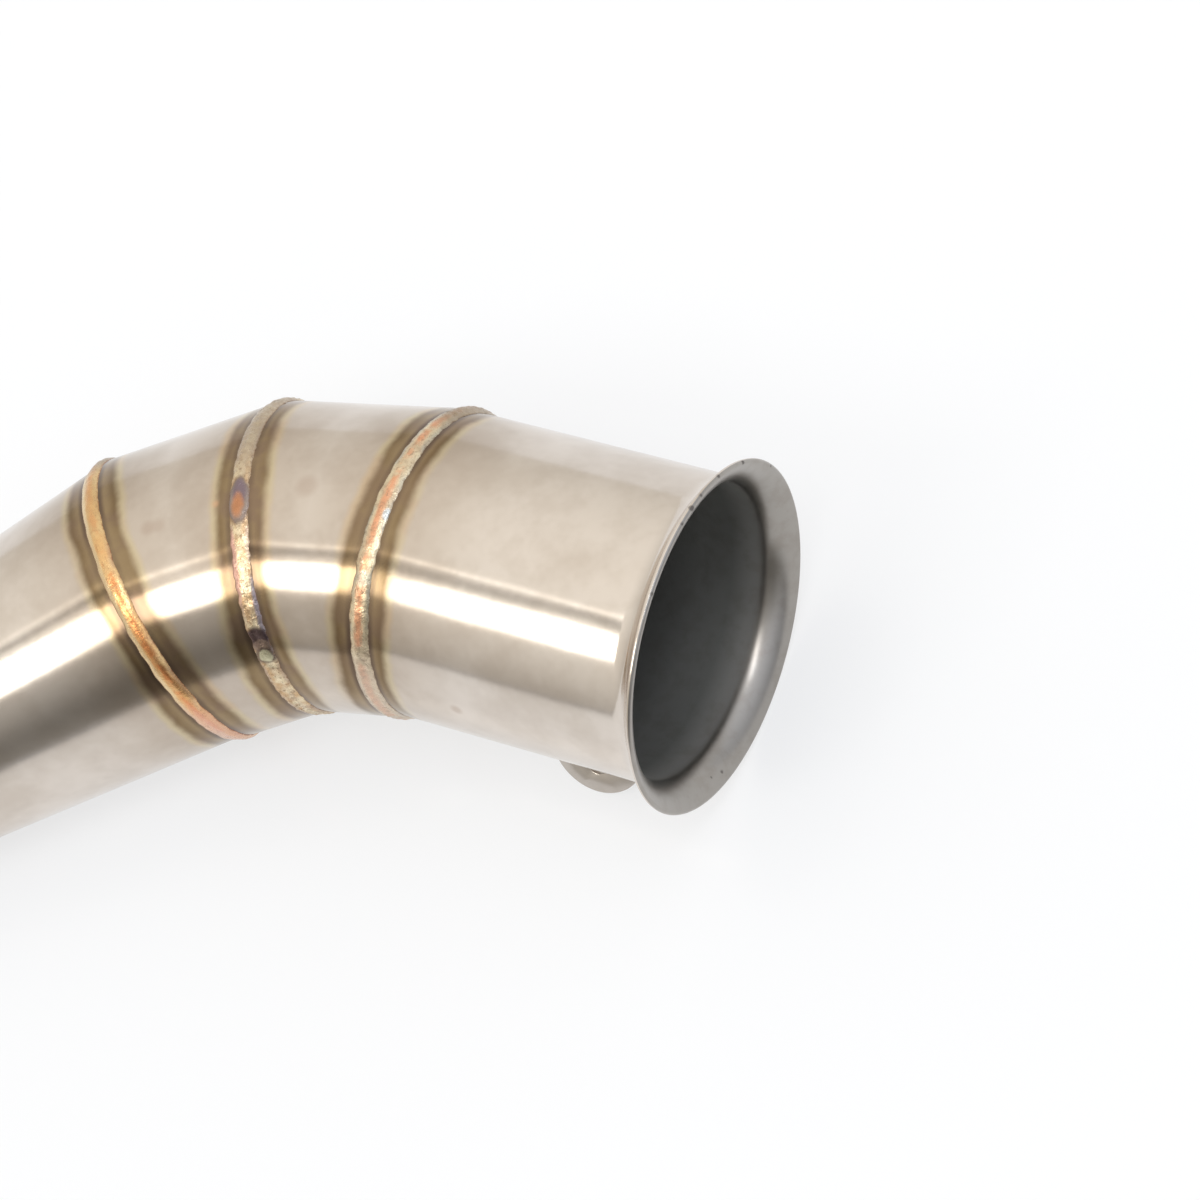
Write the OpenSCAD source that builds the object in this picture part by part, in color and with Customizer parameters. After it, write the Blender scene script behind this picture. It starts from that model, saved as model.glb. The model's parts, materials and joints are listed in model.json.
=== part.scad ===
// Exhaust link pipe: a pie-cut stainless elbow with a flared outlet, a reducing inlet and a spring tab.
// It is modelled as it lies on a flat surface. The origin is the centre of the inlet's open end,
// +X follows the inlet's axis towards the bend, seen from above, and +Z is up.

/* [Tube] */
// Outside diameter of the outlet tube and the pie-cut rings
tube_od = 50.8; // [42:0.1:62]
// Wall thickness of every tube
wall = 1; // [0.8:0.1:1.6]

/* [Elbow] */
// Angle between the inlet's axis and the outlet's axis
bend_angle = 42; // [24:1:60]
// Length of each pie-cut ring along its axis
ring_length = 24.6; // [20:0.1:32]

/* [Outlet] */
// Length from the last weld to the mouth
outlet_length = 50.8; // [48:0.1:90]
// How far the flared lip's round edge stands out from the tube
lip_rise = 3.6; // [2.5:0.1:8]
// Angle that the lip curls through, away from the axis
lip_curl = 74; // [50:1:85]

/* [Inlet] */
// Outside diameter of the inlet's straight collar
inlet_od = 38.1; // [32:0.1:41]
// Length of the straight collar
collar_length = 20; // [12:1:40]
// Length of the cone between the collar and the first weld
cone_length = 72; // [50:1:100]

/* [Weld beads] */
// Width of a butt weld's bead, toe to toe
bead_width = 3.7; // [2.5:0.1:5]
// Height of a butt weld's crown above the tubes
bead_height = 0.6; // [0.3:0.1:1]
// Leg of the fillet weld round the tab
fillet_leg = 1.4; // [1:0.1:1.8]

/* [Spring tab] */
// Width of the tab along the pipe
tab_width = 17.2; // [14:0.1:21]
// Height of the tab above the tube
tab_height = 9; // [8.6:0.1:11]
// Thickness of the tab's plate
tab_thickness = 2; // [1.5:0.1:3]
// Angle of the tab below the bend's plane, on the inside of the bend
tab_angle = 41; // [0:1:45]
// Distance from the mouth back to the tab's middle
tab_setback = 21.6; // [20:0.1:30]
// Diameter of the spring's hole
hole_d = 3.6; // [3:0.1:4]
// Height of the hole's centre above the tube
hole_height = 3.8; // [3.6:0.1:4.5]

/* [Hidden] */
$fn = 96;

bare_steel = [0.74, 0.71, 0.67];
lip_steel = [0.66, 0.63, 0.60];
copper_bead = [0.72, 0.46, 0.28];
straw_bead = [0.76, 0.62, 0.38];
dull_bead = [0.55, 0.50, 0.45];

tube_r = tube_od / 2;
bore_r = tube_r - wall;
inlet_r = inlet_od / 2;
lip_r = tube_r + lip_rise;
cone_slope = (tube_r - inlet_r) / cone_length;

// Each ring is cut at this angle on both faces. The outlet tube and the cone are cut square.
cut_angle = bend_angle / 4;
ring_1_heading = -cut_angle;
ring_2_heading = -3 * cut_angle;
outlet_heading = -bend_angle;

// The lip's outer face is an arc that leaves the tube's outside, and its edge is a half round. At the
// middle of the wall the arc's radius is curl_radius + wall / 2.
curl_radius = lip_rise / (1 - cos(lip_curl)) - wall / 2;
lip_depth = (curl_radius + wall / 2) * sin(lip_curl) + wall / 2;

function ahead(heading, distance) = distance * [cos(heading), sin(heading), 0];
inlet_end = [0, 0, 0];
cone_joint = ahead(0, collar_length + cone_length);
middle_joint = cone_joint + ahead(ring_1_heading, ring_length);
outlet_joint = middle_joint + ahead(ring_2_heading, ring_length);
mouth = outlet_joint + ahead(outlet_heading, outlet_length);

// The pipe lies on three rims: the collar's end, the lip, and the weld that hangs lowest between them.
// A rim is a circle, given by its centre, its axis and its radius. Below its centre it reaches down by
// this much, when the pipe is turned so that up is upright.
inlet_rim = [inlet_end, ahead(0, 1), inlet_r];
mouth_rim = [mouth - ahead(outlet_heading, wall / 2), ahead(outlet_heading, 1), lip_r];
weld_rims = [for (place = [[cone_joint, 0], [middle_joint, -bend_angle / 2], [outlet_joint, outlet_heading]])
                 [place[0], ahead(place[1], 1), tube_r + bead_height]];
function reach(rim, up) = rim[2] * sqrt(1 - pow(rim[1] * up, 2));
function low_point(rim, up) = rim[0] - [0, 0, reach(rim, up) / up.z];
function lowest(rims, up) =
    let (levels = [for (rim = rims) rim[0] * up - reach(rim, up)]) rims[search(min(levels), levels)[0]];
function unit(v) = v / norm(v);
function settled(up, passes) =
    let (a = low_point(inlet_rim, up),
         b = low_point(lowest(weld_rims, up), up),
         c = low_point(mouth_rim, up),
         better = unit(cross(c - a, b - a)))
    passes == 0 ? better : settled(better, passes - 1);
up = settled([0, 0, 1], 8);
lean_angle = acos(up.z);
lean_axis = cross(up, [0, 0, 1]);

// Butt weld beads: stations round the seam, and points across the crown
bead_stations = 96;
crown_points = 6;
// Keeps the bead's flat facets on the outside of the round tubes
facet_r = tube_r / cos(180 / bead_stations);

module lay_down() {
    rotate(lean_angle, lean_axis) children();
}

// Puts the children's Z axis along a heading in the bend's plane. Their Y axis stays on its left.
module at_joint(position, heading) {
    translate(position) rotate([0, 0, heading]) rotate([0, 90, 0]) children();
}

module tube(length) {
    difference() {
        cylinder(h = length, r = tube_r);
        translate([0, 0, -1]) cylinder(h = length + 2, r = bore_r);
    }
}

// A ring of tube whose two faces lean apart on the outside of the bend
module pie_cut_ring() {
    side = tube_od;
    spread = side * tan(cut_angle);
    intersection() {
        translate([0, 0, -ring_length]) tube(3 * ring_length);
        rotate([90, 0, 90]) linear_extrude(2 * tube_od, center = true)
            polygon([[-side, spread], [side, -spread], [side, ring_length + spread],
                     [-side, ring_length - spread]]);
    }
}

// One section of a bead, at an angle round the seam. lean_in and lean_out are the angles between the
// seam's plane and square cuts of the tube before it and the tube after it. slope_in is the taper of
// the tube before it.
function bead_section(angle, lean_in, lean_out, slope_in) =
    let (outward = [sin(angle), cos(angle), 0],
         seam = facet_r * [sin(angle), cos(angle) / cos(max(lean_in, lean_out)), 0],
         half = bead_width / 2,
         toe_in = facet_r * [sin(angle), cos(angle) / cos(lean_in), 0]
             + half * [0, -sin(lean_in), -cos(lean_in)] - half * slope_in * outward,
         toe_out = facet_r * [sin(angle), cos(angle) / cos(lean_out), 0]
             + half * [0, -sin(lean_out), cos(lean_out)],
         crown = seam + bead_height * outward,
         pull = 2 * crown - (toe_in + toe_out) / 2)
    concat([for (i = [0:crown_points]) let (t = i / crown_points)
                (1 - t) * (1 - t) * toe_in + 2 * t * (1 - t) * pull + t * t * toe_out],
           [seam]);

module bead(lean_in, lean_out, slope_in = 0) {
    sections = [for (i = [0:bead_stations - 1])
                    bead_section(360 * i / bead_stations, lean_in, lean_out, slope_in)];
    count = len(sections[0]);
    polyhedron(
        points = [for (section = sections) each section],
        faces = [for (i = [0:bead_stations - 1], j = [0:count - 1])
                     let (next = (i + 1) % bead_stations, above = (j + 1) % count)
                     [i * count + j, next * count + j, next * count + above, i * count + above]]);
}

// Puts the children's X axis on the tab's middle line and their Z axis along the outlet, from its mouth.
module at_tab() {
    at_joint(mouth, outlet_heading) rotate([0, 0, -90 + tab_angle]) translate([0, 0, -tab_setback]) children();
}

module tab_plate() {
    middle = tube_r + tab_height - tab_width / 2;
    rotate([90, 0, 0]) linear_extrude(tab_thickness, center = true) {
        translate([middle, 0]) circle(d = tab_width);
        translate([0, -tab_width / 2]) square([middle, tab_width]);
    }
}

module reducer_cone() {
    color(bare_steel) lay_down() at_joint(inlet_end, 0) rotate_extrude()
        polygon([[inlet_r, 0], [inlet_r, collar_length], [tube_r, collar_length + cone_length],
                 [bore_r, collar_length + cone_length], [inlet_r - wall, collar_length],
                 [inlet_r - wall, 0]]);
}

module cone_weld() {
    color(copper_bead) lay_down() at_joint(cone_joint, 0) bead(0, cut_angle, cone_slope);
}

module pie_cut_ring_1() {
    color(bare_steel) lay_down() at_joint(cone_joint, ring_1_heading) pie_cut_ring();
}

module middle_weld() {
    color(straw_bead) lay_down() at_joint(middle_joint, -bend_angle / 2) bead(cut_angle, cut_angle);
}

module pie_cut_ring_2() {
    color(bare_steel) lay_down() at_joint(middle_joint, ring_2_heading) pie_cut_ring();
}

module outlet_weld() {
    color(straw_bead) lay_down() at_joint(outlet_joint, outlet_heading) bead(cut_angle, 0);
}

// The wall's section, turned round the axis: a straight run, an arc that curls away at the mouth, and
// the round edge
module outlet_tube() {
    straight = outlet_length - lip_depth;
    color(lip_steel) lay_down() at_joint(outlet_joint, outlet_heading) rotate_extrude() {
        translate([bore_r, 0]) square([wall, straight]);
        translate([tube_r + curl_radius, straight]) {
            intersection() {
                difference() {
                    circle(r = curl_radius + wall);
                    circle(r = curl_radius);
                }
                polygon(tube_od * [[0, 0], [-1, 0], [-cos(lip_curl), sin(lip_curl)]]);
            }
            rotate(180 - lip_curl) translate([curl_radius + wall / 2, 0]) circle(d = wall);
        }
    }
}

module spring_tab() {
    color(bare_steel) lay_down() at_tab() difference() {
        tab_plate();
        translate([0, 0, -tab_width]) cylinder(h = 2 * tab_width, r = tube_r);
        translate([tube_r + hole_height, 0, 0]) rotate([90, 0, 0])
            cylinder(h = 2 * tab_thickness, d = hole_d, center = true);
    }
}

// A round bead along the four edges of the tab's foot
module tab_weld() {
    foot = [tube_r, tab_thickness / 2, tab_width / 2];
    color(dull_bead) lay_down() at_tab() difference() {
        union() {
            for (side = [-1, 1]) {
                translate([foot.x, side * foot.y, -foot.z]) cylinder(h = tab_width, r = fillet_leg);
                translate([foot.x, 0, side * foot.z]) rotate([90, 0, 0])
                    cylinder(h = tab_thickness, r = fillet_leg, center = true);
                for (end = [-1, 1]) translate([foot.x, side * foot.y, end * foot.z]) sphere(r = fillet_leg);
            }
        }
        translate([0, 0, -2 * tab_width]) cylinder(h = 4 * tab_width, r = tube_r);
        tab_plate();
    }
}

reducer_cone();
cone_weld();
pie_cut_ring_1();
middle_weld();
pie_cut_ring_2();
outlet_weld();
outlet_tube();
spring_tab();
tab_weld();
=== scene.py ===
import json
import math

import bmesh
import bpy
from mathutils import Matrix, Vector, noise


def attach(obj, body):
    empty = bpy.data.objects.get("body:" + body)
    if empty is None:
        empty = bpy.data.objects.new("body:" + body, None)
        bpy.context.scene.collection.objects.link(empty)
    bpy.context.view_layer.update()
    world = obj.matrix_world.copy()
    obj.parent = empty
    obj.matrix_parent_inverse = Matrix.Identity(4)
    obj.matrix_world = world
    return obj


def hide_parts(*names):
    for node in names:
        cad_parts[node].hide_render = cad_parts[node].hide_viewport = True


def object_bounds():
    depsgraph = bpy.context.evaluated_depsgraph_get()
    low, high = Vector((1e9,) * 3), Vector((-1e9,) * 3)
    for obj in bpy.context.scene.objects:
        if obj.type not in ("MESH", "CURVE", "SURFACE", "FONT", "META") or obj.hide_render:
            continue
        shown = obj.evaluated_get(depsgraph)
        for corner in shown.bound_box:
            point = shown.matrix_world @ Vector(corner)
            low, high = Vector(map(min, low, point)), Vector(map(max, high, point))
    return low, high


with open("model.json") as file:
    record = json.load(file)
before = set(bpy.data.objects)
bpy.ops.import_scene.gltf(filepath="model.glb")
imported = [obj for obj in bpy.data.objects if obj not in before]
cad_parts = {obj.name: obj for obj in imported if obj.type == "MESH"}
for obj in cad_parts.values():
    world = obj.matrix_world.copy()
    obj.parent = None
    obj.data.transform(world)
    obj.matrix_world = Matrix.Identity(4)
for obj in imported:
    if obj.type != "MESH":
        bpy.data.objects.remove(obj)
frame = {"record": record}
cadLow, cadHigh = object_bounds()
print("frame loaded")

# The pipe's own directions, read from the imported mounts: up the inlet, and out of the mouth.
mounts = {mount["name"]: mount for mount in frame["record"]["mounts"]}
inletWay = -Vector(mounts["inlet_bore"]["axis"]).normalized()
outletWay = Vector(mounts["outlet_bore"]["axis"]).normalized()
upWay = outletWay.cross(inletWay).normalized()
leftWay = upWay.cross(inletWay)

pipe = {
    "radius": 0.0254,
    "inletRadius": 0.01905,
    "wall": 0.001,
    "collar": 0.020,
    "toFirstJoint": 0.092,
    "ringLength": 0.0246,
    "outletLength": 0.0508,
    "cut": math.radians(10.5),  # each ring's faces lean this much
    "around": 192,  # faces round a tube
}
coneLength = pipe["toFirstJoint"] - pipe["collar"]
coneSlope = (pipe["radius"] - pipe["inletRadius"]) / coneLength


# A heading in the bend's plane, counted in cuts from the inlet's
def heading(cuts):
    turn = pipe["cut"] * cuts
    return inletWay * math.cos(turn) - leftWay * math.sin(turn)


firstJoint = inletWay * pipe["toFirstJoint"]
middleJoint = firstJoint + heading(1) * pipe["ringLength"]
lastJoint = middleJoint + heading(3) * pipe["ringLength"]
mouth = lastJoint + heading(4) * pipe["outletLength"]


# Z runs along the heading, Y to its left and X down.
def placeAt(position, cuts):
    along = heading(cuts)
    side = upWay.cross(along)
    return Matrix.Translation(position) @ Matrix((-upWay, side, along)).transposed().to_4x4()


def makeCamera():
    view = {
        "location": (0.2765, -0.34436, 0.63914),
        "right": Vector((0.88584, -0.32956, -0.3266)),
        "down": Vector((-0.43353, -0.83872, -0.32954)),
        "lens": 133.33,
        "sensor": 36,
        "nearest": 0.01,
    }
    data = bpy.data.cameras.new("camera")
    data.lens = view["lens"]
    data.sensor_width = view["sensor"]
    data.clip_start = view["nearest"]
    camera = bpy.data.objects.new("camera", data)
    bpy.context.scene.collection.objects.link(camera)
    back = view["right"].cross(-view["down"])
    turn = Matrix((view["right"], -view["down"], back)).transposed().to_4x4()
    camera.matrix_world = Matrix.Translation(view["location"]) @ turn
    bpy.context.scene.camera = camera


class Wire:
    def __init__(self, tree, socket=None):
        self.tree = tree
        self.socket = socket

    def node(self, kind, settings=None, inputs=None, out=0):
        made = self.tree.nodes.new(kind)
        for name, value in (settings or {}).items():
            if name == "stops":
                ramp = made.color_ramp
                while len(ramp.elements) < len(value):
                    ramp.elements.new(0.5)
                for element, (place, colour) in zip(ramp.elements, value):
                    element.position = place
                    element.color = (*colour, 1)
            else:
                setattr(made, name, value)
        for key, value in (inputs or {}).items():
            if isinstance(value, Wire):
                self.tree.links.new(value.socket, made.inputs[key])
            else:
                made.inputs[key].default_value = value
        return Wire(self.tree, made.outputs[out])

    def maths(self, operation, first, second=0.0):
        return self.node("ShaderNodeMath", {"operation": operation}, {0: first, 1: second})

    def __add__(self, other):
        return self.maths("ADD", self, other)

    def __radd__(self, other):
        return self.maths("ADD", other, self)

    def __sub__(self, other):
        return self.maths("SUBTRACT", self, other)

    def __rsub__(self, other):
        return self.maths("SUBTRACT", other, self)

    def __mul__(self, other):
        return self.maths("MULTIPLY", self, other)

    def __rmul__(self, other):
        return self.maths("MULTIPLY", other, self)

    def __truediv__(self, other):
        return self.maths("DIVIDE", self, other)

    def size(self):
        return self.maths("ABSOLUTE", self)

    def least(self, other):
        return self.maths("MINIMUM", self, other)

    def most(self, other):
        return self.maths("MAXIMUM", self, other)

    def ease(self, low, high):
        settings = {"interpolation_type": "SMOOTHSTEP"}
        return self.node("ShaderNodeMapRange", settings, {"Value": self, "From Min": low, "From Max": high})

    # 1 from low to high, fading to 0 over the given width on each side
    def band(self, low, high, fade):
        return self.ease(low - fade, low) * (1 - self.ease(high, high + fade))

    def vector(self, operation, other, out="Vector"):
        return self.node("ShaderNodeVectorMath", {"operation": operation}, {0: self, 1: other}, out)

    def along(self, way):
        return self.vector("DOT_PRODUCT", way, "Value")

    def farFrom(self, point):
        return self.vector("DISTANCE", point, "Value")

    def blend(self, low, high, kind="MIX"):
        inputs = {0: self}
        for index, colour in ((6, low), (7, high)):
            inputs[index] = colour if isinstance(colour, Wire) else (*colour, 1)
        return self.node("ShaderNodeMix", {"data_type": "RGBA", "blend_type": kind}, inputs, 2)

    def noise(self, scale, detail=3.0, roughness=0.5):
        inputs = {"Vector": self, "Scale": scale, "Detail": detail, "Roughness": roughness}
        return self.node("ShaderNodeTexNoise", {}, inputs)

    def attribute(self, name):
        return self.node("ShaderNodeAttribute", {"attribute_name": name}, out="Fac")

    def feed(self, shader, name):
        self.tree.links.new(self.socket, shader.inputs[name])


def newMaterial(name):
    material = bpy.data.materials.new(name)
    material.use_nodes = True
    shader = material.node_tree.nodes["Principled BSDF"]
    spot = Wire(material.node_tree).node("ShaderNodeTexCoord", out="Object")
    return material, shader, spot


seams = [(firstJoint, heading(0)), (middleJoint, heading(2)), (lastJoint, heading(4))]


def steelMaterial():
    look = {
        "steel": (0.705, 0.640, 0.578),
        "blotch": (0.600, 0.532, 0.466),
        "haze": (0.80, 0.76, 0.71),
        "mid": (0.318, 0.230, 0.132),
        "outer": (0.195, 0.130, 0.068),
        "plum": (0.235, 0.160, 0.115),
        "straw": (0.62, 0.51, 0.28),
        "tan": (0.60, 0.43, 0.24),
        "toe": (0.125, 0.085, 0.065),
        "pit": (0.09, 0.075, 0.07),
        "smudge": (0.46, 0.36, 0.29),
        "flame": (0.72, 0.42, 0.25),
        "flamePlace": (0.11087, -0.00243, 0.03355),
        "roughness": 0.145,
        "flareRoughness": 0.15,
        "wallRoughness": 0.32,
        "wallMetal": 0.45,
        "bump": 0.12,
        # How far the tint reaches from a seam and how much its edge wanders, in millimetres
        "reach": 4.55,
        "sway": 3.4,
        "fray": 0.9,
        "hazeReach": (4.0, 21.0),
        "toeReach": (1.8, 2.7),
        # Where a colour comes and goes past the tint's edge, in millimetres
        "strawBand": (-0.3, 0.3, 1.5),
        "scorchEdge": (-2.4, -0.5),
        "tintEdge": (-1.0, 0.75),
        # How far from its middle a mark fades out, in millimetres
        "flameEdge": (1.0, 2.0),
        "pitEdge": (0.05, 0.45),
    }
    # The wall's inner side: the flare's grey metal, then painted shade darkening towards the deep inside
    inner = [
        (0.3, (0.375, 0.352, 0.325)),
        (0.4, (0.28, 0.275, 0.258)),
        (0.5, (0.20, 0.20, 0.187)),
        (0.6, (0.23, 0.23, 0.215)),
        (1.0, (0.032, 0.032, 0.028)),
    ]
    # Place, reach in millimetres and strength
    smudges = [
        ((0.1262, -0.0072, 0.0339), 1.8, 0.4),
        ((0.0987, -0.0004, 0.0328), 1.4, 0.45),
        ((0.1006, -0.0010, 0.0329), 1.4, 0.35),
        ((0.1324, -0.0462, 0.0172), 1.2, 0.5),
    ]
    pits = [
        (0.1634, -0.06337, -0.01141),
        (0.16183, -0.06432, -0.00911),
        (0.16459, -0.05729, -0.01209),
        (0.1934, -0.03062, 0.0143),
        (0.19094, -0.03298, 0.02456),
        (0.18753, -0.03653, 0.03089),
        (0.18436, -0.03994, 0.03452),
        (0.18253, -0.042, 0.036),
        (0.18037, -0.04436, 0.03731),
        (0.17225, -0.05344, 0.03862),
        (0.14294, 0.00563, 0.01978),
    ]
    material, shader, spot = newMaterial("satinSteel")
    inside = spot.attribute("inside")
    gap = None
    for point, way in seams:
        distance = (spot.along(way) - point.dot(way)).size() * 1000
        gap = distance if gap is None else gap.least(distance)
    pitGap = None
    for point in pits:
        distance = spot.farFrom(point) * 1000
        pitGap = distance if pitGap is None else pitGap.least(distance)
    cloud = spot.noise(55, 4, 0.62)
    patch = spot.noise(16, 2, 0.5)
    dapple = spot.noise(140, 3, 0.55)
    fine = spot.noise(300, 3, 0.6)
    edge = look["reach"] + (spot.noise(48, 2) - 0.5) * look["sway"] + (fine - 0.5) * look["fray"]
    past = gap - edge
    colour = cloud.ease(0.38, 0.70).blend(look["steel"], look["blotch"])
    colour = (dapple.ease(0.46, 0.72) * 0.5).blend(colour, look["blotch"])
    haze = (1 - gap.ease(*look["hazeReach"])) * patch.ease(0.25, 0.60)
    colour = (haze * 0.9).blend(colour, look["haze"], "MULTIPLY")
    straw = past.band(*look["strawBand"]) * patch.ease(0.36, 0.60)
    colour = (straw * 0.55).blend(colour, dapple.ease(0.42, 0.62).blend(look["straw"], look["tan"]))
    scorch = past.ease(*look["scorchEdge"]) * cloud.ease(0.30, 0.62)
    tint = scorch.blend(look["mid"], look["outer"])
    tint = (patch.ease(0.45, 0.62) * dapple.ease(0.40, 0.60) * 0.7).blend(tint, look["plum"])
    toe = (1 - gap.ease(*look["toeReach"])) * cloud.ease(0.25, 0.65)
    tint = (toe * 0.8).blend(tint, look["toe"])
    colour = past.ease(*look["tintEdge"]).blend(tint, colour)
    for point, reach, strength in smudges:
        smudge = 1 - (spot.farFrom(point) * 1000 + cloud * 2).ease(reach, 2 * reach)
        colour = (smudge * strength).blend(colour, look["smudge"])
    flame = 1 - (spot.farFrom(look["flamePlace"]) * 1000 + dapple * 2).ease(*look["flameEdge"])
    colour = (flame * 0.5).blend(colour, look["flame"])
    depths = spot.node("ShaderNodeValToRGB", {"stops": inner}, {"Fac": inside})
    depths = (fine.ease(0.42, 0.70) * 0.22).blend(depths, look["blotch"], "MULTIPLY")
    # The inner side takes the ramp's colour: past the flare's grey, painted shade deepening into the bore
    colour = inside.ease(0.0, 0.25).blend(colour, depths)
    pit = 1 - (pitGap + (fine - 0.5) * 1.6).ease(*look["pitEdge"])
    colour = (pit * 0.65).blend(colour, look["pit"])
    colour.feed(shader, "Base Color")
    grain = spot.noise(900, 2, 0.6)
    roughness = look["roughness"] + (cloud - 0.5) * 0.08 + (grain - 0.5) * 0.05
    roughness = roughness + inside.ease(0.0, 0.3) * look["flareRoughness"]
    roughness = roughness + inside.ease(0.30, 0.40) * look["wallRoughness"]
    (roughness + pit * 0.3).feed(shader, "Roughness")
    (1 - inside.ease(0.30, 0.42) * look["wallMetal"]).feed(shader, "Metallic")
    height = spot.noise(70, 2) + grain * 0.05
    inputs = {"Strength": look["bump"], "Distance": 0.0005, "Height": height}
    spot.node("ShaderNodeBump", {}, inputs).feed(shader, "Normal")
    return material


def beadMaterial(name, look, stains):
    material, shader, spot = newMaterial(name)
    shader.inputs["Metallic"].default_value = 1
    across = spot.attribute("across")
    run = spot.attribute("run")
    edge = across.size()
    patch = spot.noise(look["patchScale"], 3, 0.6)
    fine = spot.noise(1500, 3, 0.7)
    # Drawn out along the seam
    drawn = spot.node("ShaderNodeCombineXYZ", {}, {"X": run * 0.16, "Y": across * 2.4}).noise(1.3, 4, 0.65)
    colour = patch.ease(0.40, 0.60).blend(look["main"], look["second"])
    centre = 1 - (across - look["streakAt"] + (drawn - 0.5) * 0.9).size().ease(0.10, 0.62)
    streak = centre * spot.noise(230, 3, 0.6).ease(0.36, 0.54) * look["streakStrength"]
    colour = streak.blend(colour, look["streak"])
    rim = edge.ease(0.45, 0.85) * spot.noise(190, 3).ease(0.44, 0.60)
    colour = (rim * look["edgeStrength"]).blend(colour, look["edge"])
    colour = (drawn.ease(0.55, 0.72) * look["lines"]).blend(colour, look["dark"])
    # Painted shade in the ripples' valleys
    colour = (spot.attribute("dip") * look["valley"] * patch.ease(0.3, 0.6)).blend(colour, look["dark"])
    colour = (fine.ease(0.54, 0.68) * look["speckle"]).blend(colour, look["dark"])
    for stain in stains:
        runGap = (run - stain["run"]) / stain["runReach"]
        acrossGap = (across - stain["across"]) / stain["acrossReach"]
        reach = runGap * runGap + acrossGap * acrossGap + (fine - 0.5) * 0.6
        faded = 1 - reach.ease(1.0 - stain["soft"], 1.0 + stain["soft"])
        colour = (faded * stain["strength"]).blend(colour, stain["colour"])
    colour = (edge.ease(0.84, 1.0) * fine.ease(0.35, 0.6) * 0.8).blend(colour, look["dark"])
    colour.feed(shader, "Base Color")
    (look["roughness"] + (fine - 0.5) * 0.3).feed(shader, "Roughness")
    inputs = {"Strength": look["grit"], "Distance": 0.0003, "Height": fine}
    spot.node("ShaderNodeBump", {}, inputs).feed(shader, "Normal")
    return material


def deselectAll():
    bpy.ops.object.select_all(action="DESELECT")


def choose(piece):
    deselectAll()
    piece.select_set(True)
    bpy.context.view_layer.objects.active = piece


def settle(piece, matrix):
    choose(piece)
    piece.matrix_world = matrix
    bpy.ops.object.transform_apply(location=True, rotation=True, scale=True)


def applyModifier(piece, kind, **settings):
    choose(piece)
    modifier = piece.modifiers.new(kind.lower(), kind)
    for name, value in settings.items():
        setattr(modifier, name, value)
    bpy.ops.object.modifier_apply(modifier=modifier.name)


# Points closer than the gap are joined.
def mendNormals(gap=0.000001):
    bpy.ops.mesh.select_all(action="SELECT")
    bpy.ops.mesh.remove_doubles(threshold=gap)
    bpy.ops.mesh.normals_make_consistent(inside=False)


# The outside skin of a tube: a circle, extruded and resized from one station to the next
def skinTube(name, stations):
    height, radius = stations[0]
    deselectAll()
    bpy.ops.mesh.primitive_circle_add(vertices=pipe["around"], radius=radius, location=(0, 0, height))
    piece = bpy.context.object
    piece.name = piece.data.name = name
    bpy.ops.object.transform_apply(location=True, rotation=True, scale=True)
    bpy.ops.object.mode_set(mode="EDIT")
    bpy.ops.mesh.select_all(action="SELECT")
    for nextHeight, nextRadius in stations[1:]:
        step = {"value": (0, 0, nextHeight - height)}
        bpy.ops.mesh.extrude_region_move(TRANSFORM_OT_translate=step)
        ratio = nextRadius / radius
        bpy.ops.transform.resize(value=(ratio, ratio, 1), center_override=(0, 0, nextHeight))
        height, radius = nextHeight, nextRadius
    mendNormals()
    bpy.ops.object.mode_set(mode="OBJECT")
    face = piece.data.polygons[0]
    if face.normal.dot(Vector((face.center.x, face.center.y, 0))) < 0:
        piece.data.flip_normals()
    return piece


def giveWall(piece):
    settings = {"offset": -1, "use_even_offset": True, "use_rim": True}
    applyModifier(piece, "SOLIDIFY", thickness=pipe["wall"], **settings)


# Rounds the edges sharper than an angle in radians whose heights lie between low and high
def roundRim(piece, low, high, width, steps, sharp=1):
    choose(piece)
    bpy.ops.object.mode_set(mode="EDIT")
    bpy.ops.mesh.select_mode(type="EDGE")
    bpy.ops.mesh.select_all(action="DESELECT")
    mesh = bmesh.from_edit_mesh(piece.data)
    for edge in mesh.edges:
        inRange = all(low < vertex.co.z < high for vertex in edge.verts)
        if inRange and len(edge.link_faces) == 2 and edge.calc_face_angle() > sharp:
            edge.select_set(True)
    bmesh.update_edit_mesh(piece.data)
    bpy.ops.mesh.bevel(offset=width, segments=steps, affect="EDGES")
    bpy.ops.mesh.select_mode(type="VERT")
    bpy.ops.object.mode_set(mode="OBJECT")


# Marks the wall's inner side with a value that changes with the height: 0.3 is the flare's grey metal, 0.5
# the dull wall beside an opening and 1 the deep inside; past the flare the steel's colour darkens with the
# value, as painted shade in the bore. A point is on the inner side where its normal leans towards the axis,
# and on the lip also where it leans out of the mouth.
def markInside(piece, levels):
    inner = {"towardsAxis": 0.05, "outOfMouth": 0.3, "lipFrom": 0.04}
    inside = piece.data.attributes.new("inside", "FLOAT", "POINT")
    for vertex in piece.data.vertices:
        out = Vector((vertex.co.x, vertex.co.y, 0)).normalized()
        value = 0.0
        onLip = vertex.normal.z > inner["outOfMouth"] and vertex.co.z > inner["lipFrom"]
        if vertex.normal.dot(out) < -inner["towardsAxis"] or onLip:
            value = levels[0][1]
            for (low, lowValue), (high, highValue) in zip(levels, levels[1:]):
                share = max(0.0, min(1.0, (vertex.co.z - low) / (high - low)))
                value += (highValue - lowValue) * share
        inside.data[vertex.index].value = value


def dress(piece, node, material, sharpest=40):
    choose(piece)
    bpy.ops.object.shade_smooth_by_angle(angle=math.radians(sharpest))
    piece.data.materials.clear()
    piece.data.materials.append(material)
    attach(piece, "root")
    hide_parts(node)


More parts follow.
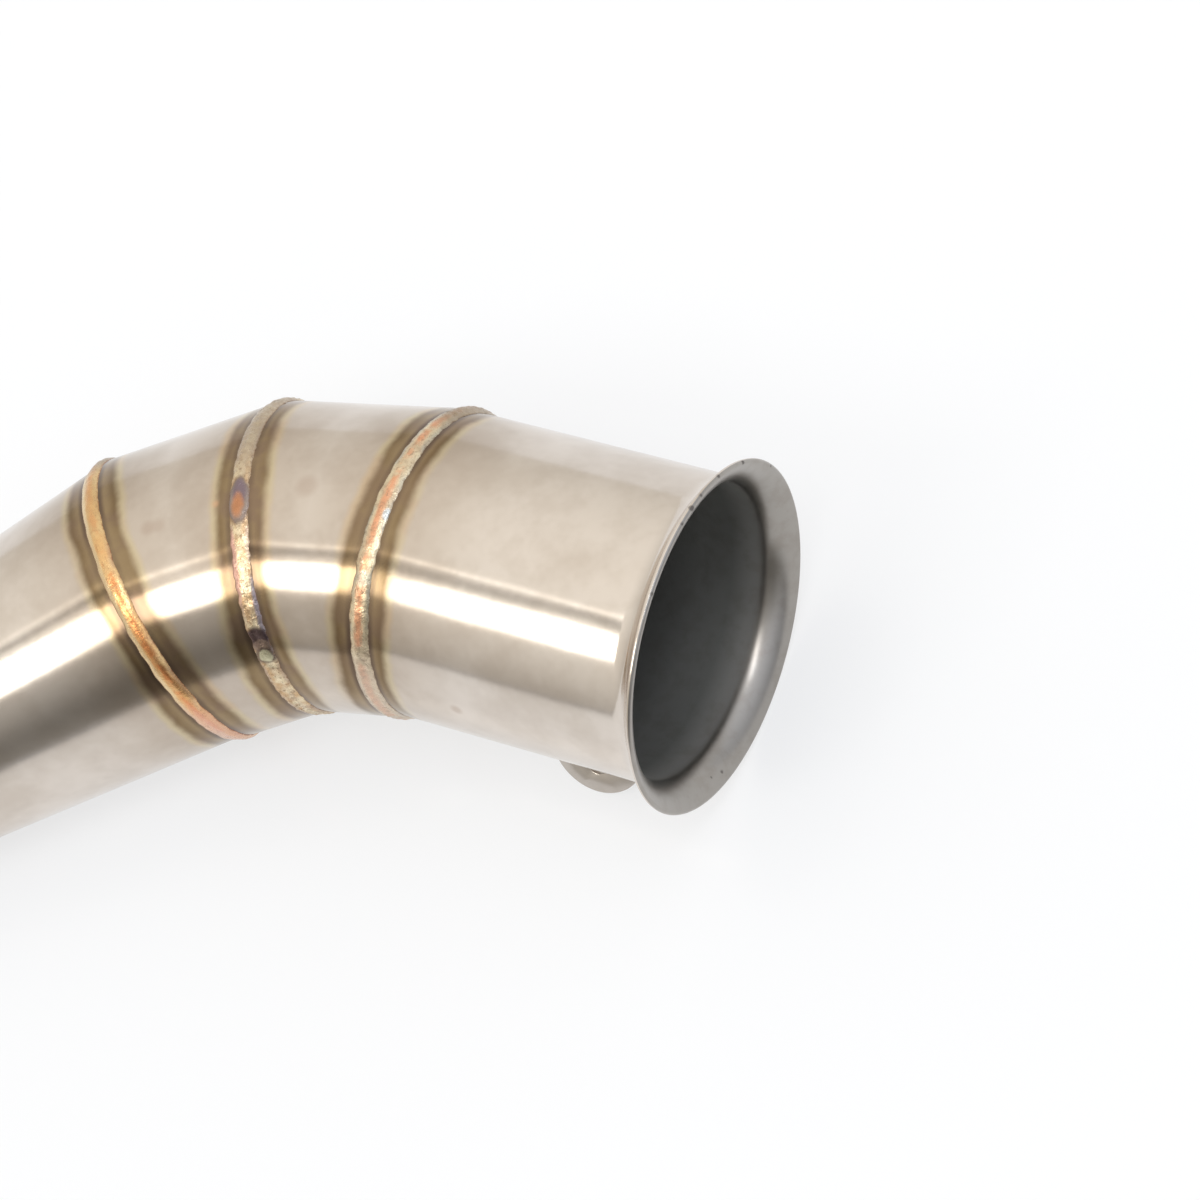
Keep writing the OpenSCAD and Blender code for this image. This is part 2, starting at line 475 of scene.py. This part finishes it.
def buildReducer(material):
    reducer = {
        "collarHeights": (0, 0.0006, 0.001, 0.009),
        "coneShares": (0.08, 0.16, 0.25, 0.5, 0.75, 0.99, 1.0),
        "blend": 0.0026,  # half the length of the soft bend between collar and cone
        "blendSteps": 10,
        "deburr": 0.00015,
        "deburrSteps": 3,
        "rimReach": 0.001,
        # Values of the inside attribute by height, which darken the bore deeper in as painted shade
        "depths": [(0, 0.45), (0.035, 1.0)],
    }
    stations = [(height, pipe["inletRadius"]) for height in reducer["collarHeights"]]
    for step in range(reducer["blendSteps"] + 1):
        share = step / reducer["blendSteps"]
        height = pipe["collar"] + (2 * share - 1) * reducer["blend"]
        stations.append((height, pipe["inletRadius"] + coneSlope * reducer["blend"] * share * share))
    for share in reducer["coneShares"]:
        height = pipe["collar"] + coneLength * share
        stations.append((height, pipe["inletRadius"] + coneSlope * coneLength * share))
    cone = skinTube("reducerCone", stations)
    giveWall(cone)
    reach = reducer["rimReach"]
    roundRim(cone, -reach, reach, reducer["deburr"], reducer["deburrSteps"])
    markInside(cone, reducer["depths"])
    settle(cone, placeAt(Vector((0, 0, 0)), 0))
    dress(cone, "reducer_cone", material)


def buildRing(name, node, joint, cuts, material):
    ring = {
        "spare": 0.012,  # more tube at each end, for the slanted cuts to take away
        "steps": 16,
    }
    length = pipe["ringLength"] + 2 * ring["spare"]
    heights = [length * step / ring["steps"] - ring["spare"] for step in range(ring["steps"] + 1)]
    stations = [(height, pipe["radius"]) for height in heights]
    piece = skinTube(name, stations)
    giveWall(piece)
    bpy.ops.object.mode_set(mode="EDIT")
    lean = math.tan(pipe["cut"])
    for height, way in ((0, (0, -lean, -1)), (pipe["ringLength"], (0, -lean, 1))):
        bpy.ops.mesh.select_all(action="SELECT")
        bpy.ops.mesh.bisect(plane_co=(0, 0, height), plane_no=way, use_fill=True, clear_outer=True)
    bpy.ops.object.mode_set(mode="OBJECT")
    markInside(piece, [(0, 1.0)])
    settle(piece, placeAt(joint, cuts))
    dress(piece, node, material)


def buildOutlet(material):
    lip = {
        "rise": 0.00359,
        "curl": math.radians(74),
        "steps": 24,
        "straightSteps": 8,
        "firstStep": 0.0004,
        "edgeShare": 0.98,  # of half the wall, so that the round edge doesn't close on itself
        "edgeSteps": 6,
        # Values of the inside attribute by depth below the mouth: 0.3 is the flare's grey, more is painted
        # shade down the bore
        "depths": [(0.042, 1.0), (0.016, 0.6), (0.010, 0.5), (0.0056, 0.4), (0.0042, 0.3), (0, 0.3)],
    }
    half = pipe["wall"] / 2
    curlRadius = lip["rise"] / (1 - math.cos(lip["curl"])) - half
    straight = pipe["outletLength"] - (curlRadius + half) * math.sin(lip["curl"]) - half
    stations = [(0, pipe["radius"]), (lip["firstStep"], pipe["radius"])]
    for step in range(1, lip["straightSteps"] + 1):
        stations.append((straight * step / lip["straightSteps"], pipe["radius"]))
    for step in range(1, lip["steps"] + 1):
        angle = lip["curl"] * step / lip["steps"]
        radius = pipe["radius"] + curlRadius * (1 - math.cos(angle))
        stations.append((straight + curlRadius * math.sin(angle), radius))
    height, radius = stations[-1]
    stations.append((height + half * math.cos(lip["curl"]), radius + half * math.sin(lip["curl"])))
    tube = skinTube("outletTube", stations)
    giveWall(tube)
    length = pipe["outletLength"]
    roundRim(tube, straight, length + pipe["wall"], lip["edgeShare"] * half, lip["edgeSteps"])
    levels = [(length - depth, value) for depth, value in lip["depths"]]
    markInside(tube, levels)
    settle(tube, placeAt(lastJoint, 4))
    dress(tube, "outlet_tube", material)


def smooth(value):
    value = max(0.0, min(1.0, value))
    return value * value * (3 - 2 * value)


# What the three butt welds share. Lengths are in metres, and the scales of the noise are in waves a
# millimetre.
beadForm = {
    "stations": 1400,
    "points": 26,
    "thickness": 0.001,  # of the torus, before its points move
    "width": 0.0034,
    "widest": 0.0037,
    "trim": 0.96,
    "height": 0.0006,
    "root": 0.00104,  # from the seam down through the wall
    "deepest": 0.00005,
    "taperIn": 0.0,
    "swayScale": 0.4,
    "coarse": 1.1,
    "fine": 2.4,
    "fineShare": 0.6,
    "sag": 0.7,
    "crownPower": 0.75,
    "ripplePower": 0.8,
    "jumpAt": 90,  # where the degrees round the seam jump, on the underside
}


# A torus, moved point by point on to the seam between two tubes, because a bead's ripples and lumps
# follow no operator. leanIn and leanOut are how far the seam leans against square cuts of the tubes.
def buildBead(name, node, joint, cuts, leanIn, leanOut, bead, material):
    deselectAll()
    bpy.ops.mesh.primitive_torus_add(
        major_segments=bead["stations"],
        minor_segments=bead["points"],
        major_radius=pipe["radius"],
        minor_radius=bead["thickness"],
        location=(0, 0, 0),
    )
    piece = bpy.context.object
    piece.name = piece.data.name = name
    acrossValues = piece.data.attributes.new("across", "FLOAT", "POINT")
    runValues = piece.data.attributes.new("run", "FLOAT", "POINT")
    rippleShadeValues = piece.data.attributes.new("dip", "FLOAT", "POINT")
    for vertex in piece.data.vertices:
        x, y, z = vertex.co
        around = math.atan2(x, y)
        degrees = math.degrees(around)
        if degrees > bead["jumpAt"]:
            degrees -= 360
        roll = math.atan2(z, math.hypot(x, y) - pipe["radius"])
        share = math.sin(roll)
        out = Vector((math.sin(around), math.cos(around), 0))
        millimetres = out * pipe["radius"] * 1000
        ragged = noise.noise(millimetres * bead["raggedScale"] + Vector((0, 0, 5 if share < 0 else 20)))
        width = bead["width"] * (bead["trim"] + bead["ragged"] * ragged)
        rise = bead["height"]
        for lump in bead["lumps"]:
            near = smooth(1 - abs(degrees - lump["run"]) / lump["reach"])
            width += lump["widen"] * near
            hollow = lump["hollow"] * smooth(1.6 * near - 0.6) * (1 - share * share)
            rise += lump["rise"] * near - hollow
        half = min(width, bead["widest"]) / 2
        lean = leanIn if share < 0 else leanOut
        mix = smooth(share + 0.5)
        stretch = (1 - mix) / math.cos(leanIn) + mix / math.cos(leanOut)
        point = pipe["radius"] * Vector((math.sin(around), math.cos(around) * stretch, 0))
        side = -1 if share < 0 else 1
        point += half * abs(share) * Vector((0, -math.sin(lean), side * math.cos(lean)))
        if share < 0:
            point -= out * bead["taperIn"] * half * abs(share)
        if math.cos(roll) >= 0:
            phase = math.radians(degrees) * pipe["radius"] / bead["pitch"] - bead["arch"] * share * share
            phase += bead["uneven"] * noise.noise(millimetres * bead["swayScale"])
            valley = 1 - abs(math.sin(math.pi * phase)) ** bead["ripplePower"]
            fade = 1 - share**4
            rise *= (1 - share * share) ** bead["crownPower"]
            rise -= bead["ripple"] * valley * fade
            rough = noise.noise(millimetres * bead["coarse"] + Vector((0, 0, 2 * share)))
            fineRough = noise.noise(millimetres * bead["fine"] + Vector((0, 0, 4 * share)))
            rough += bead["fineShare"] * fineRough
            rise += bead["crumple"] * (rough - bead["sag"]) * fade
            point += out * min(max(rise, -bead["deepest"]), bead["height"])
            # How deep the point lies in a ripple's valley, which the bead's colour darkens as painted shade
            rippleShadeValues.data[vertex.index].value = valley * fade
            acrossValues.data[vertex.index].value = share
        else:
            # The root comes through the wall as a low dark line
            point -= out * bead["root"] * math.sqrt(max(0.0, 1 - share * share))
            acrossValues.data[vertex.index].value = 1.0 if share > 0 else -1.0
        vertex.co = point
        runValues.data[vertex.index].value = degrees
    bpy.ops.object.mode_set(mode="EDIT")
    mendNormals()
    bpy.ops.object.mode_set(mode="OBJECT")
    settle(piece, placeAt(joint, cuts))
    dress(piece, node, material)


# A patch of colour on a bead, placed by its degrees round the seam and its share across the crown
def stainAt(run, runReach, across, acrossReach, colour, strength=1.0, soft=0.35):
    return {
        "run": run,
        "runReach": runReach,
        "across": across,
        "acrossReach": acrossReach,
        "colour": colour,
        "strength": strength,
        "soft": soft,
    }


# A swelling or a hollow of a bead
def lumpAt(run, reach, rise=0.0, widen=0.0, hollow=0.0):
    return {"run": run, "reach": reach, "rise": rise, "widen": widen, "hollow": hollow}


def buildConeWeld():
    look = {
        "main": (0.80, 0.47, 0.20),
        "second": (0.82, 0.57, 0.28),
        "streak": (0.76, 0.30, 0.11),
        "streakAt": 0.12,
        "streakStrength": 0.9,
        "edge": (0.56, 0.34, 0.20),
        "edgeStrength": 0.6,
        "dark": (0.28, 0.10, 0.055),
        "lines": 0.6,
        "valley": 0.3,
        "speckle": 0.3,
        "patchScale": 160,
        "roughness": 0.26,
        "grit": 0.22,
    }
    stains = [
        stainAt(-50, 38, 0.0, 3.0, (0.68, 0.50, 0.26), 0.5, 0.8),
        stainAt(-100, 80, -0.85, 0.42, (0.80, 0.64, 0.40), 0.75, 0.7),
        stainAt(-16, 24, 0.0, 3.0, (0.30, 0.23, 0.15), 0.85, 0.8),
        stainAt(-180, 24, 0.0, 3.0, (0.70, 0.42, 0.34), 0.6, 0.8),
    ]
    shape = {
        **beadForm,
        "pitch": 0.00075,
        "arch": 1.1,
        "uneven": 0.5,
        "ripple": 0.00008,
        "crumple": 0.00003,
        "ragged": 0.12,
        "raggedScale": 0.45,
        "lumps": [],
        "taperIn": coneSlope,
    }
    material = beadMaterial("copperBead", look, stains)
    buildBead("coneWeld", "cone_weld", firstJoint, 0, 0, pipe["cut"], shape, material)


def buildMiddleWeld():
    look = {
        "main": (0.80, 0.66, 0.44),
        "second": (0.64, 0.44, 0.25),
        "streak": (0.84, 0.74, 0.54),
        "streakAt": 0.15,
        "streakStrength": 0.55,
        "edge": (0.52, 0.40, 0.30),
        "edgeStrength": 0.8,
        "dark": (0.25, 0.14, 0.08),
        "lines": 0.35,
        "valley": 0.5,
        "speckle": 0.75,
        "patchScale": 420,
        "roughness": 0.30,
        "grit": 0.4,
    }
    stains = [
        stainAt(-40, 32, 0.0, 3.0, (0.46, 0.38, 0.29), 0.75, 0.8),
        stainAt(-108, 13, -0.80, 0.45, (0.74, 0.42, 0.36), 0.7, 0.6),
        stainAt(-127, 15, 0.95, 0.45, (0.32, 0.30, 0.38), 0.75, 0.6),
        stainAt(-84.5, 9.0, 0.0, 1.14, (0.16, 0.115, 0.105), 0.9),
        stainAt(-84.3, 8.1, 0.0, 0.98, (0.34, 0.275, 0.24), 0.9),
        stainAt(-81.2, 5.0, 0.05, 0.66, (0.21, 0.155, 0.185), 0.85, 0.7),
        stainAt(-86.2, 4.4, -0.10, 0.58, (0.55, 0.25, 0.12), 0.9, 0.9),
        stainAt(-134.6, 4.0, -0.1, 1.25, (0.085, 0.055, 0.06), 0.95, 0.5),
        stainAt(-138.2, 2.4, 0.1, 1.1, (0.28, 0.20, 0.16), 0.85, 0.5),
        stainAt(-142.4, 3.6, 0.0, 1.05, (0.15, 0.11, 0.09), 0.8, 0.3),
        stainAt(-142.6, 2.7, 0.05, 0.70, (0.58, 0.54, 0.37), 1.0, 0.3),
    ]
    shape = {
        **beadForm,
        "pitch": 0.0010,
        "arch": 0.8,
        "uneven": 1.0,
        "ripple": 0.00016,
        "crumple": 0.00016,
        "ragged": 0.20,
        "raggedScale": 0.9,
        "lumps": [
            lumpAt(-84.4, 9.0, rise=0.00008, widen=0.0004, hollow=0.00028),
            lumpAt(-135.5, 4.0, rise=-0.0001, widen=-0.0002),
            lumpAt(-142.6, 3.2, rise=0.0001, hollow=-0.0001),
        ],
    }
    material = beadMaterial("strawBead", look, stains)
    buildBead("middleWeld", "middle_weld", middleJoint, 2, pipe["cut"], pipe["cut"], shape, material)


def buildOutletWeld():
    look = {
        "main": (0.79, 0.67, 0.46),
        "second": (0.70, 0.56, 0.38),
        "streak": (0.80, 0.40, 0.23),
        "streakAt": 0.0,
        "streakStrength": 0.95,
        "edge": (0.44, 0.43, 0.37),
        "edgeStrength": 0.6,
        "dark": (0.27, 0.19, 0.13),
        "lines": 0.45,
        "valley": 0.45,
        "speckle": 0.5,
        "patchScale": 260,
        "roughness": 0.30,
        "grit": 0.35,
    }
    stains = [
        stainAt(-170, 30, 0.0, 3.0, (0.60, 0.50, 0.41), 0.6, 0.8),
        stainAt(-18, 22, 0.0, 3.0, (0.34, 0.26, 0.18), 0.85, 0.8),
        stainAt(-86, 2.2, 0.70, 0.35, (0.50, 0.56, 0.60), 0.7, 0.6),
        stainAt(-110, 3.0, 0.1, 0.7, (0.52, 0.58, 0.50), 0.5, 0.7),
    ]
    shape = {
        **beadForm,
        "pitch": 0.0009,
        "arch": 0.8,
        "uneven": 0.8,
        "ripple": 0.00012,
        "crumple": 0.00013,
        "ragged": 0.15,
        "raggedScale": 0.7,
        "lumps": [lumpAt(-124, 3, widen=0.0003), lumpAt(-108, 4, widen=-0.0003)],
    }
    material = beadMaterial("goldBead", look, stains)
    buildBead("outletWeld", "outlet_weld", lastJoint, 4, pipe["cut"], 0, shape, material)


def buildTab(material):
    tab = {
        "width": 0.0172,
        "height": 0.009,
        "thickness": 0.002,
        "setback": 0.0216,
        "angle": math.radians(41),
        "hole": 0.0036,
        "holeHeight": 0.0038,
        "drillLength": 0.008,
        "faces": 96,
        "holeFaces": 64,
        "sink": 0.0002,
        "deburr": 0.00015,
        "deburrFrom": 0.8,  # the least angle that the bevel takes, in radians
        "dull": 0.13,  # a value of the steel's inside attribute, for a slightly duller plate
    }
    place = placeAt(mouth, 4) @ Matrix.Rotation(tab["angle"] - math.pi / 2, 4, "Z")
    place = place @ Matrix.Translation((0, 0, -tab["setback"]))
    middle = pipe["radius"] + tab["height"] - tab["width"] / 2
    foot = math.sqrt(pipe["radius"] ** 2 - (tab["thickness"] / 2) ** 2) - tab["sink"]
    deselectAll()
    bpy.ops.mesh.primitive_cylinder_add(
        vertices=tab["faces"],
        radius=tab["width"] / 2,
        depth=tab["thickness"],
        location=(middle, 0, 0),
        rotation=(math.pi / 2, 0, 0),
    )
    plate = bpy.context.object
    plate.name = plate.data.name = "springTab"
    bpy.ops.object.transform_apply(location=True, rotation=True, scale=True)
    bpy.ops.object.mode_set(mode="EDIT")
    bpy.ops.mesh.select_all(action="SELECT")
    bpy.ops.mesh.bisect(plane_co=(foot, 0, 0), plane_no=(-1, 0, 0), use_fill=True, clear_outer=True)
    bpy.ops.object.mode_set(mode="OBJECT")
    deselectAll()
    bpy.ops.mesh.primitive_cylinder_add(
        vertices=tab["holeFaces"],
        radius=tab["hole"] / 2,
        depth=tab["drillLength"],
        location=(pipe["radius"] + tab["holeHeight"], 0, 0),
        rotation=(math.pi / 2, 0, 0),
    )
    drill = bpy.context.object
    applyModifier(plate, "BOOLEAN", object=drill, operation="DIFFERENCE", solver="EXACT")
    bpy.data.objects.remove(drill)
    settings = {"segments": 2, "limit_method": "ANGLE", "angle_limit": tab["deburrFrom"]}
    applyModifier(plate, "BEVEL", width=tab["deburr"], **settings)
    dull = plate.data.attributes.new("inside", "FLOAT", "POINT")
    for value in dull.data:
        value.value = tab["dull"]
    settle(plate, place)
    dress(plate, "spring_tab", material)
    return tab, place


def buildTabWeld(tab, place):
    fillet = {
        "leg": 0.0014,
        "sink": 0.0003,
        "stations": 320,
        "points": 20,
        "pitch": 0.0009,
        "ripple": 0.12,
        "swell": 0.10,
        "swellScale": 900,
        # The torus's own size, before its points move
        "loop": 0.01,
        "thickness": 0.001,
    }
    look = {
        "main": (0.55, 0.50, 0.43),
        "second": (0.50, 0.40, 0.28),
        "streak": (0.58, 0.50, 0.40),
        "streakAt": 0.0,
        "streakStrength": 0.4,
        "edge": (0.40, 0.33, 0.26),
        "edgeStrength": 0.6,
        "dark": (0.16, 0.12, 0.10),
        "lines": 0.2,
        "valley": 0.0,
        "speckle": 0.4,
        "patchScale": 300,
        "roughness": 0.38,
        "grit": 0.4,
    }
    deselectAll()
    bpy.ops.mesh.primitive_torus_add(
        major_segments=fillet["stations"],
        minor_segments=fillet["points"],
        major_radius=fillet["loop"],
        minor_radius=fillet["thickness"],
        location=(0, 0, 0),
    )
    piece = bpy.context.object
    piece.name = piece.data.name = "tabWeld"
    halfLength = tab["width"] / 2
    halfWidth = tab["thickness"] / 2
    acrossValues = piece.data.attributes.new("across", "FLOAT", "POINT")
    piece.data.attributes.new("run", "FLOAT", "POINT")
    piece.data.attributes.new("dip", "FLOAT", "POINT")
    for vertex in piece.data.vertices:
        x, y, z = vertex.co
        around = math.atan2(y, x)
        roll = math.atan2(z, math.hypot(x, y) - fillet["loop"])
        # The torus becomes a long rounded loop round the tab's foot
        reach = max(abs(math.cos(around)), abs(math.sin(around)))
        footZ = halfLength * math.cos(around) / reach
        footY = halfWidth * math.sin(around) / reach
        swell = 1 + fillet["swell"] * noise.noise(Vector((x, y, 0)) * fillet["swellScale"])
        ripple = 1 - fillet["ripple"] * (1 - abs(math.sin(math.pi * footZ / fillet["pitch"])))
        outY = math.sin(around) * abs(math.sin(around)) ** 3
        outZ = math.cos(around) * abs(math.cos(around)) ** 3
        out = Vector((outY, outZ)).normalized()
        leg = fillet["leg"] * min(swell, 1.0) * ripple
        rise = math.sin(roll) * (leg if math.sin(roll) > 0 else fillet["sink"])
        y = footY + out.x * math.cos(roll) * leg
        z = footZ + out.y * math.cos(roll) * leg
        vertex.co = (math.sqrt(pipe["radius"] ** 2 - y * y) + rise, y, z)
        acrossValues.data[vertex.index].value = math.cos(roll)
    bpy.ops.object.mode_set(mode="EDIT")
    mendNormals()
    bpy.ops.object.mode_set(mode="OBJECT")
    settle(piece, place)
    dress(piece, "tab_weld", beadMaterial("dullBead", look, []))


# The floor glows a little to what looks at it, so its shadows stay light. It is pale near the pipe and grey
# far off, a painted pool of light.
def buildFloor():
    look = {
        "near": (0.85, 0.86, 0.88),
        "far": (0.32, 0.32, 0.32),
        "nearGlow": (0.99, 0.995, 1.0),
        "farGlow": (0.40, 0.40, 0.40),
        "glow": 0.65,
        "size": 8,
        "fade": (-0.58, -0.20),  # from the far colour to the near one, along +Y
        "roughness": 0.2,
    }
    deselectAll()
    bpy.ops.mesh.primitive_plane_add(size=look["size"], location=(0, 0, cadLow.z))
    floor = bpy.context.object
    floor.name = "floor"
    material, shader, spot = newMaterial("paleFloor")
    # Painted pool of light: the floor and its glow turn grey from -0.2 to -0.58 m along Y
    far = 1 - spot.along((0, 1, 0)).ease(*look["fade"])
    far.blend(look["near"], look["far"]).feed(shader, "Base Color")
    shader.inputs["Roughness"].default_value = look["roughness"]
    seen = spot.node("ShaderNodeLightPath", out="Is Camera Ray")
    for ray in ("Is Glossy Ray", "Is Transmission Ray"):
        seen = seen.most(spot.node("ShaderNodeLightPath", out=ray))
    glow = spot.node("ShaderNodeEmission", {}, {"Color": far.blend(look["nearGlow"], look["farGlow"])})
    base = Wire(material.node_tree, shader.outputs[0])
    surface = spot.node("ShaderNodeMixShader", {}, {0: seen * look["glow"], 1: base, 2: glow})
    surface.feed(material.node_tree.nodes["Material Output"], "Surface")
    floor.data.materials.append(material)


# The world is a function of direction: soft light overhead, dimmer towards the horizon, with one large
# lamp. The lamp and the patches beside it lie in a plane overhead, where a place is a direction over
# its height.
def buildStudio():
    scene = bpy.context.scene
    scene.view_settings.view_transform = "Standard"
    world = bpy.data.worlds.new("studio")
    scene.world = world
    world.use_nodes = True
    studio = {
        "overhead": 1.18,
        "horizon": 0.54,
        "swing": 0.32,  # how much brighter the horizon is towards +Y
        "swingWay": (-0.174, 0.985, 0),
        "dim": 0.41,
        "dimWay": (-0.42, -0.70, 0.58),
        "lift": 0.10,
        "liftWay": (-0.90, -0.33, 0.28),
        "fill": 0.12,
        "fillWay": (0.795, -0.371, 0.479),
        "warm": (1.0, 0.965, 0.90),
        "cool": (0.93, 0.97, 1.05),
        # Where each of these comes in, as the cosine of the angle to its way or the sine of the height
        "dimEdge": (0.78, 1.0),
        "liftEdge": (0.70, 1.0),
        "fillEdge": (0.1, 1.0),
        "upperEdge": (0.02, 0.05),
        "least": 0.05,
        "key": 5.0,
        "keyCorners": [(-0.88, -0.04), (-0.50, -0.22), (-0.66, -0.66), (-1.38, -0.30)],
        "keySoft": [0.02, 0.05, 0.12, 0.03],
        "shade": 0.60,
    }
    # Each patch has its middle, its turn, half its length and width, and how softly each of them fades.
    shadePatch = ((-0.71, 0.05), 0, (0.09, 0.03), (0.05, 0.03))
    lightPatches = [
        (1.2, ((-0.615, 0.14), 135, (0.05, 0.012), (0.04, 0.02))),
        (1.5, ((-0.48, 0.0125), 0, (0.04, 0.0175), (0.03, 0.02))),
        (6.0, ((0.093, -0.233), 24.8, (0.19, 0.04), (0.20, 0.06))),
    ]
    way = Wire(world.node_tree).node("ShaderNodeTexCoord", out="Generated")
    height = way.along((0, 0, 1))
    level = height.most(studio["least"])
    upper = height.ease(*studio["upperEdge"])

    # How far a direction lies past a point in the plane, counted along a heading
    def reachFrom(point, turn):
        x, y = math.cos(turn), math.sin(turn)
        return way.along((x, y, -(x * point[0] + y * point[1]))) / level

    def patch(middle, degrees, halves, fades):
        inside = upper
        for index in (0, 1):
            reach = reachFrom(middle, math.radians(degrees + 90 * index)).size()
            inside = inside * (1 - reach.ease(halves[index], halves[index] + fades[index]))
        return inside

    horizon = way.along(studio["swingWay"]) * studio["swing"] + studio["horizon"]
    glow = horizon + (studio["overhead"] - horizon) * height.most(0.0)
    glow = glow - way.along(studio["dimWay"]).ease(*studio["dimEdge"]) * studio["dim"]
    glow = glow + way.along(studio["liftWay"]).ease(*studio["liftEdge"]) * studio["lift"]
    fill = way.along(studio["fillWay"]).ease(*studio["fillEdge"])
    key = upper
    corners = studio["keyCorners"]
    for index, soft in enumerate(studio["keySoft"]):
        (x, y), (nextX, nextY) = corners[index], corners[(index + 1) % len(corners)]
        inward = math.atan2(x - nextX, nextY - y)
        key = key * reachFrom(corners[index], inward).ease(-soft, soft)
    shade = patch(*shadePatch)
    light = (glow - shade * studio["shade"]).most(studio["least"])
    light = light + fill * studio["fill"] + key * (1 - shade) * studio["key"]
    for strength, place in lightPatches:
        light = light + patch(*place) * strength
    background = world.node_tree.nodes["Background"]
    light.feed(background, "Strength")
    fill.blend(studio["warm"], studio["cool"]).feed(background, "Color")


makeCamera()
print("camera made")
buildFloor()
buildStudio()
print("studio made")
steel = steelMaterial()
buildReducer(steel)
buildRing("firstRing", "pie_cut_ring_1", firstJoint, 1, steel)
buildRing("secondRing", "pie_cut_ring_2", middleJoint, 3, steel)
buildOutlet(steel)
print("tubes made")
buildConeWeld()
buildMiddleWeld()
buildOutletWeld()
print("beads made")
tab, tabPlace = buildTab(steel)
buildTabWeld(tab, tabPlace)
print("tab made")
